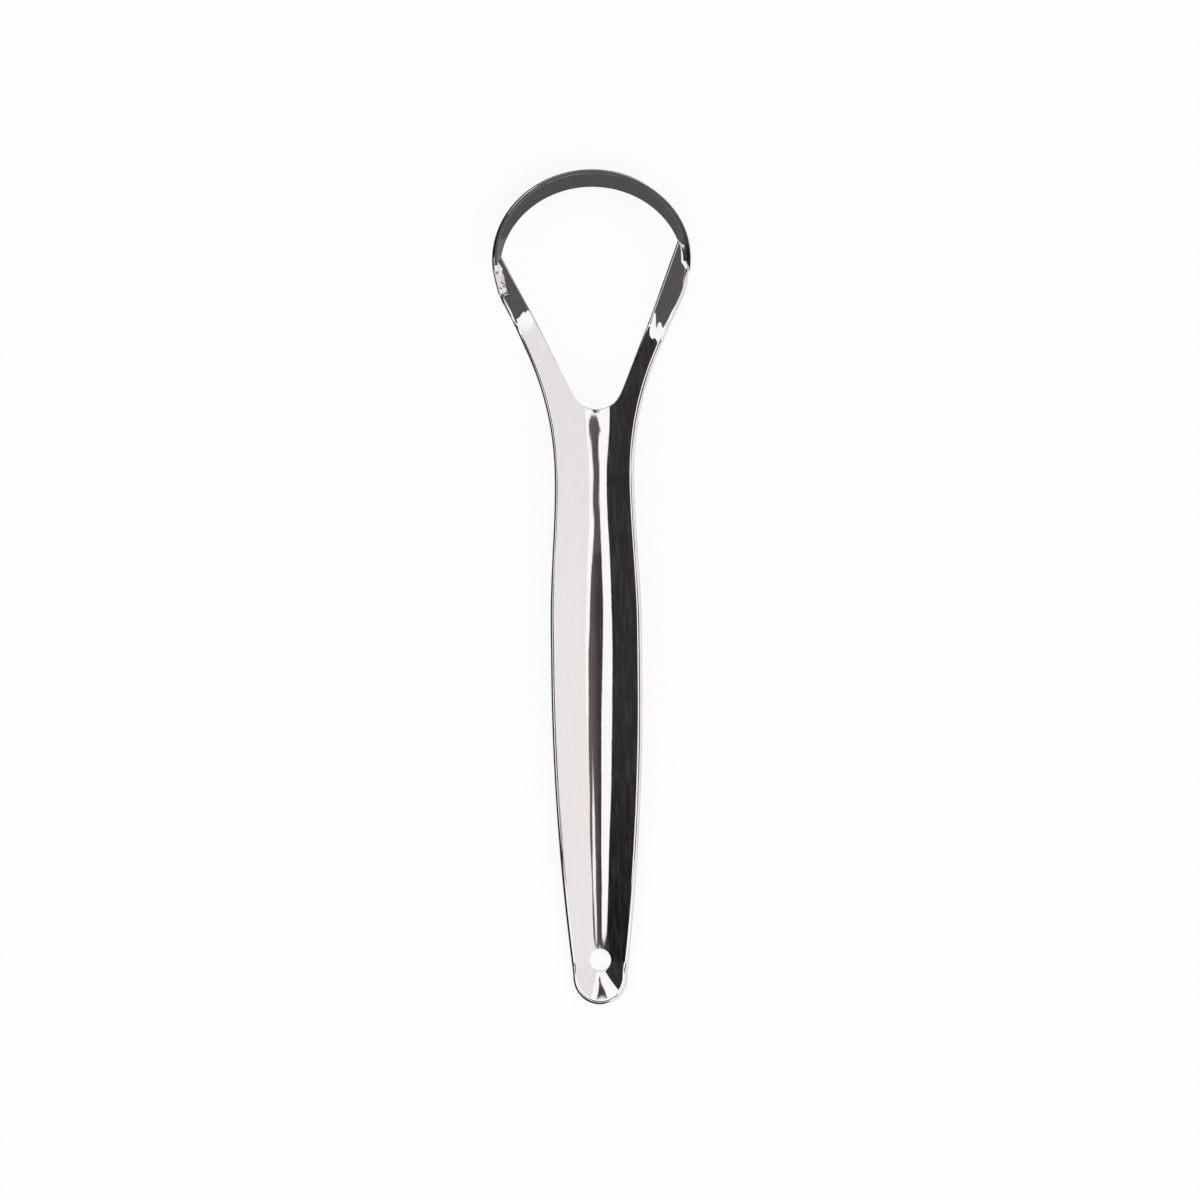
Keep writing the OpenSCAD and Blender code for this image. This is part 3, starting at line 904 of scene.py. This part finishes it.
# The white patches on the bends: a place across the tool, and where the patch begins and ends there
RIGHT_PATCH = (
    (10.7, 116.3, 117.2), (10.9, 115.9, 118.0), (11.25, 115.5, 119.3), (11.6, 115.8, 120.3),
    (11.8, 115.6, 120.0), (11.92, 115.4, 117.4), (12.07, 115.1, 117.6), (12.2, 114.9, 118.3),
    (12.5, 114.6, 118.6), (12.8, 114.6, 118.4), (12.97, 114.6, 117.7), (13.25, 114.8, 117.4),
    (14.0, 114.8, 117.2),
)
LEFT_PATCH = (
    (-15.0, 117.6, 118.5), (-14.5, 117.4, 118.6), (-14.2, 117.3, 118.75), (-14.0, 117.2, 119.0),
    (-13.85, 117.1, 119.35), (-13.65, 117.0, 119.5), (-13.5, 117.0, 119.55), (-13.3, 116.9, 120.1),
    (-13.1, 116.8, 120.25), (-12.95, 116.7, 120.5), (-12.75, 116.6, 120.75), (-12.5, 116.5, 120.5),
    (-12.3, 116.4, 120.55), (-12.1, 116.3, 120.9), (-11.9, 116.2, 121.05), (-11.6, 116.1, 121.2),
    (-11.2, 115.9, 121.3),
)


def band(rows, height):
    """Card rows between the reflections of a stripe's two edges."""
    return list(zip(lit_from([(a, y) for y, a, b in rows], height),
                    lit_from([(b, y) for y, a, b in rows], height)))


def patch(rows, height):
    """Card rows for the reflection of a patch, from its places across the tool."""
    return list(zip(lit_from([(x, low) for x, low, high in rows], height),
                    lit_from([(x, high) for x, low, high in rows], height)))


def across(rows):
    """Card rows from (y, low x, high x)."""
    return [((a, y), (b, y)) for y, a, b in rows]


# The studio's brightest white, and the soft light's colours near the tail and near the fork
BRIGHT_WHITE = (1.24, 1.23, 1.24)
SOFT_WHITE, SOFT_FAR = (1.065, 1.02, 1.01), (1.01, 0.97, 0.965)
# The greys that show in the head, and in the strip's wall beside and below
HEAD_GREY = (0.104, 0.099, 0.109)
SIDE_GREY, UNDER_GREY = (0.17, 0.163, 0.166), (0.095, 0.091, 0.098)


def make_cards():
    """The studio's cards and flags, each for one stripe or patch of the steel."""
    warm, cool = (0.165, 0.122, 0.106), (0.048, 0.045, 0.055)
    black, grey_black = (0.009, 0.0078, 0.0088), (0.031, 0.0285, 0.0325)
    near = CARD_HEIGHT - 2
    stage_card("valley_card", band(VALLEY_SHADE, CARD_HEIGHT), CARD_HEIGHT, cool, warm, "X", (-20, 60))
    brown, violet = (0.15, 0.122, 0.118), (0.105, 0.1, 0.112)
    stage_card("upper_card", band(UPPER_SHADE, CARD_HEIGHT), CARD_HEIGHT, violet, brown, "X", (-20, 45))
    slit_light, slit_dark = (1.15, 1.13, 1.12), (0.25, 0.2, 0.19)
    stage_card("slit_card", band(VALLEY_SLIT, near), near, slit_light, slit_dark, "Y", (-97, -88))
    stage_card("tail_card", band(TAIL_SHADE, CARD_HEIGHT), CARD_HEIGHT, (0.06, 0.045, 0.05))
    flag = [((-FAR, y), (x, y)) for x, y in lit_from([(x, y) for y, x in FLAG_EDGE])]
    flag += across(((40, -FAR, -130), (86, -FAR, -93), (98, -FAR, -91), (101, -FAR, -118)))
    flag = across(((-178, -FAR, -105),)) + flag
    stage_card("black_flag", flag, CARD_HEIGHT + 4, black, grey_black, "Y", (-135, -78))
    soft = [((x, y), (FAR, y)) for x, y in lit_from([(x, y) for y, x in SOFT_EDGE])]
    soft = across(((-FAR, 400, FAR), (-200, 120, FAR))) + soft
    soft += across(((40, 85, FAR), (110, 60, FAR), (152, 58, FAR)))
    stage_card("soft_light", soft, CARD_HEIGHT + 8, SOFT_WHITE, SOFT_FAR, "Y", (-60, -10))
    front = across(((-180, -FAR, 60), (-FAR, -FAR, 2000)))
    stage_card("front_flag", front, CARD_HEIGHT + 12, black)
    head = (
        (-150, 125, FAR), (-124, 117, FAR), (-108, 150, FAR), (-95, 165, FAR), (-50, 165, FAR),
        (10, 210, FAR), (38, 297, FAR), (58, 297, FAR), (95, 320, FAR), (130, 340, 1200),
        (1600, 1800, 2200),
    )
    stage_card("head_card", [((x, a), (x, b)) for x, a, b in head], CARD_HEIGHT, HEAD_GREY)
    shoulder = across(((376, -112, -35), (430, -118, -38), (480, -118, -42)))
    stage_card("right_shoulder_flag", shoulder, CARD_HEIGHT - 1, HEAD_GREY, black, "Y", (378, 412))
    inner, outer = (lit_from_rim([(a, t) for a, t in turns], RIM_FLAG_HEIGHT)
                    for turns in (RIM_SHADE, [(a, RIM_SHADE_OUT) for a, t in RIM_SHADE]))
    stage_card("rim_flag", list(zip(outer, inner)), RIM_FLAG_HEIGHT, black)
    sheen = lit_from_rim([(a, RIM_TOP) for a, t in RIM_SHEEN], RIM_FLAG_HEIGHT)
    sheen = list(zip(lit_from_rim(RIM_SHEEN, RIM_FLAG_HEIGHT), sheen))
    stage_card("rim_sheen_card", sheen, RIM_FLAG_HEIGHT + 0.5, (1.1, 1.05, 1.07))
    edge = across(((78, -60, -20), (84, -60, -21), (88, -60, -23), (92.5, -60, -25)))
    edge_light, edge_dark = (0.24, 0.23, 0.235), (0.1, 0.095, 0.1)
    stage_card("left_edge_card", edge, RIM_FLAG_HEIGHT + 1, edge_light, edge_dark, "Y", (85, 89))
    left = across(((220, -FAR, -400), (FAR, -FAR, -400)))
    stage_card("left_flag", left, CARD_HEIGHT + 16, black)
    stage_card("right_bend_card", patch(RIGHT_PATCH, LOW_HEIGHT), LOW_HEIGHT, BRIGHT_WHITE)
    left_bend = patch(LEFT_PATCH, LOW_HEIGHT)
    stage_card("left_bend_card", left_bend, LOW_HEIGHT, SOFT_FAR, BRIGHT_WHITE, "Y", (46, 51))
    side = across(((47, 6, 6.5), (50, 5, 17), (62, 2, 17), (63, -13, 17), (73, -13, 13), (77, -6, 6)))
    under_left = across(((60.5, -17, -11.5), (66, -17, -11.5), (73, -13, -11.5)))
    stage_card("hoop_side_card", side, FLOOR_CARD_HEIGHT, SIDE_GREY)
    stage_card("hoop_left_card", under_left, FLOOR_CARD_HEIGHT, SIDE_GREY)
    middle = across(((48, 6, 13), (62, 2, 14.5), (63, -13, 14.5), (71, -12, 13.4), (76, -6, 6)))
    stage_card("hoop_card", middle, -0.02, UNDER_GREY)
    under_shoulder = across(((55, 12, 17.3), (64, 14.2, 17.3), (66, 14.8, 15)))
    stage_card("shoulder_card", under_shoulder, -0.01, black)
    outside = across((
        (48, -FAR, -17.6), (60, -FAR, -18.4), (71, -FAR, -15), (77.6, -FAR, -8),
        (78.4, -FAR, 12), (95, -FAR, 14), (FAR, -FAR, 400),
    ))
    stage_card("left_card", outside, -0.02, black)


def make_world():
    """What the steel mirrors beyond the cards; everything else is lit by plain white."""
    world = bpy.data.worlds.new("studio")
    bpy.context.scene.world = world
    world.use_nodes = True
    tree = world.node_tree
    tree.nodes.clear()
    links = tree.links
    place = node(tree, "ShaderNodeTexCoord")
    parts = node(tree, "ShaderNodeSeparateXYZ")
    links.new(place.outputs["Generated"], parts.inputs[0])
    up = node(tree, "ShaderNodeMath", operation="MAXIMUM")
    up.inputs[1].default_value = 0.02
    links.new(parts.outputs["Z"], up.inputs[0])
    side = node(tree, "ShaderNodeMath", operation="DIVIDE")
    links.new(parts.outputs["X"], side.inputs[0])
    links.new(up.outputs[0], side.inputs[1])
    flag, soft, horizon = (0.02, 0.0185, 0.02), (1.0, 0.965, 0.96), (0.2, 0.19, 0.19)
    # From left to right: the flag, then each light with the slopes, across over up, where it comes in
    colour = None
    for low, high, light in ((-1.6, -1.5, BRIGHT_WHITE), (0.5, 0.6, soft), (6.5, 7.5, horizon)):
        edge = node(tree, "ShaderNodeMapRange", interpolation_type="SMOOTHSTEP")
        edge.inputs["From Min"].default_value = low
        edge.inputs["From Max"].default_value = high
        links.new(side.outputs[0], edge.inputs["Value"])
        mix = node(tree, "ShaderNodeMix", data_type="RGBA")
        links.new(edge.outputs[0], mix.inputs["Factor"])
        mix.inputs["A"].default_value = (*flag, 1)
        if colour:
            links.new(colour, mix.inputs["A"])
        mix.inputs["B"].default_value = (*light, 1)
        colour = mix.outputs["Result"]
    mirror = node(tree, "ShaderNodeBackground")
    links.new(colour, mirror.inputs["Color"])
    plain = node(tree, "ShaderNodeBackground")
    plain.inputs["Color"].default_value = (1, 1, 1, 1)
    ray = node(tree, "ShaderNodeLightPath")
    mix = node(tree, "ShaderNodeMixShader")
    links.new(ray.outputs["Is Glossy Ray"], mix.inputs["Fac"])
    links.new(plain.outputs[0], mix.inputs[1])
    links.new(mirror.outputs[0], mix.inputs[2])
    out = node(tree, "ShaderNodeOutputWorld")
    links.new(mix.outputs[0], out.inputs["Surface"])


# The floor lies a hair below the tool. The camera and the steel see it mostly as plain bright paper, and
# the rest of its look is lit paper, which takes the tool's faint shadow
FLOOR_REACH, FLOOR_DROP = 6000.0, 0.05
FLOOR_BRIGHT_SHARE = 0.85


def make_floor():
    """The white paper that the tool lies on."""
    bm = bmesh.new()
    reach = FLOOR_REACH * MM
    corners = ((-1, -1), (1, -1), (1, 1), (-1, 1))
    bm.faces.new([bm.verts.new((x * reach, y * reach, 0)) for x, y in corners])
    floor = placed("floor", bm)
    floor.location.z = -FLOOR_DROP * MM
    tree = bare_material(floor, "floor_paper")
    links = tree.links
    paper = node(tree, "ShaderNodeBsdfDiffuse")
    paper.inputs["Color"].default_value = (0.97, 0.97, 0.97, 1)
    bright = node(tree, "ShaderNodeEmission")
    bright.inputs["Color"].default_value = (0.995, 0.995, 0.995, 1)
    ray = node(tree, "ShaderNodeLightPath")
    seen = ray.outputs["Is Camera Ray"]
    for kind in ("Is Glossy Ray", "Is Transmission Ray"):
        either = node(tree, "ShaderNodeMath", operation="MAXIMUM")
        links.new(seen, either.inputs[0])
        links.new(ray.outputs[kind], either.inputs[1])
        seen = either.outputs[0]
    share = node(tree, "ShaderNodeMath", operation="MULTIPLY")
    share.inputs[1].default_value = FLOOR_BRIGHT_SHARE
    links.new(seen, share.inputs[0])
    mix = node(tree, "ShaderNodeMixShader")
    links.new(share.outputs[0], mix.inputs["Fac"])
    links.new(paper.outputs[0], mix.inputs[1])
    links.new(bright.outputs[0], mix.inputs[2])
    out = node(tree, "ShaderNodeOutputMaterial")
    links.new(mix.outputs[0], out.inputs["Surface"])


def make_camera():
    """The camera straight above, which frames the tool as the photograph does."""
    data = bpy.data.cameras.new("camera")
    camera = bpy.data.objects.new("camera", data)
    bpy.context.scene.collection.objects.link(camera)
    camera.location = (CAMERA_X * MM, CAMERA_Y * MM, CAMERA_HEIGHT * MM)
    camera.rotation_euler = (0, 0, -LEAN)
    data.sensor_width = SENSOR
    data.lens = SENSOR * (CAMERA_HEIGHT - SCALE_HEIGHT) * PIXELS_PER_MM / PHOTO_SIDE
    data.clip_start, data.clip_end = 0.01, 20
    bpy.context.scene.camera = camera


make_camera()
make_world()
make_floor()
make_cards()

GROUPS = (polish_group(), smudge_group())
HANDLE_STEEL = steel("handle_steel", (0.784, 0.767, 0.771), (0.762, 0.745, 0.748), 0.03, 0.0006, GROUPS)
HOOP_STEEL = steel("hoop_steel", (0.785, 0.77, 0.78), (0.72, 0.705, 0.715), 0.05, 0.0006, GROUPS)
WELD_STEEL = steel("weld_steel", (0.8, 0.785, 0.785), (0.77, 0.75, 0.75), 0.06, 0.0008, GROUPS)

for piece, steel_kind, cad_node, slot in (
    (make_handle(), HANDLE_STEEL, "handle", "handle_steel"),
    (make_hoop(), HOOP_STEEL, "scraping_hoop", "hoop_steel"),
    (make_left_weld(), WELD_STEEL, "left_weld", "weld_steel"),
    (make_right_weld(), WELD_STEEL, "right_weld", "weld_steel"),
):
    piece.data.materials.append(steel_kind)
    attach(piece, "root")
    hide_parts(cad_node)

bpy.context.scene.view_settings.view_transform = "Standard"
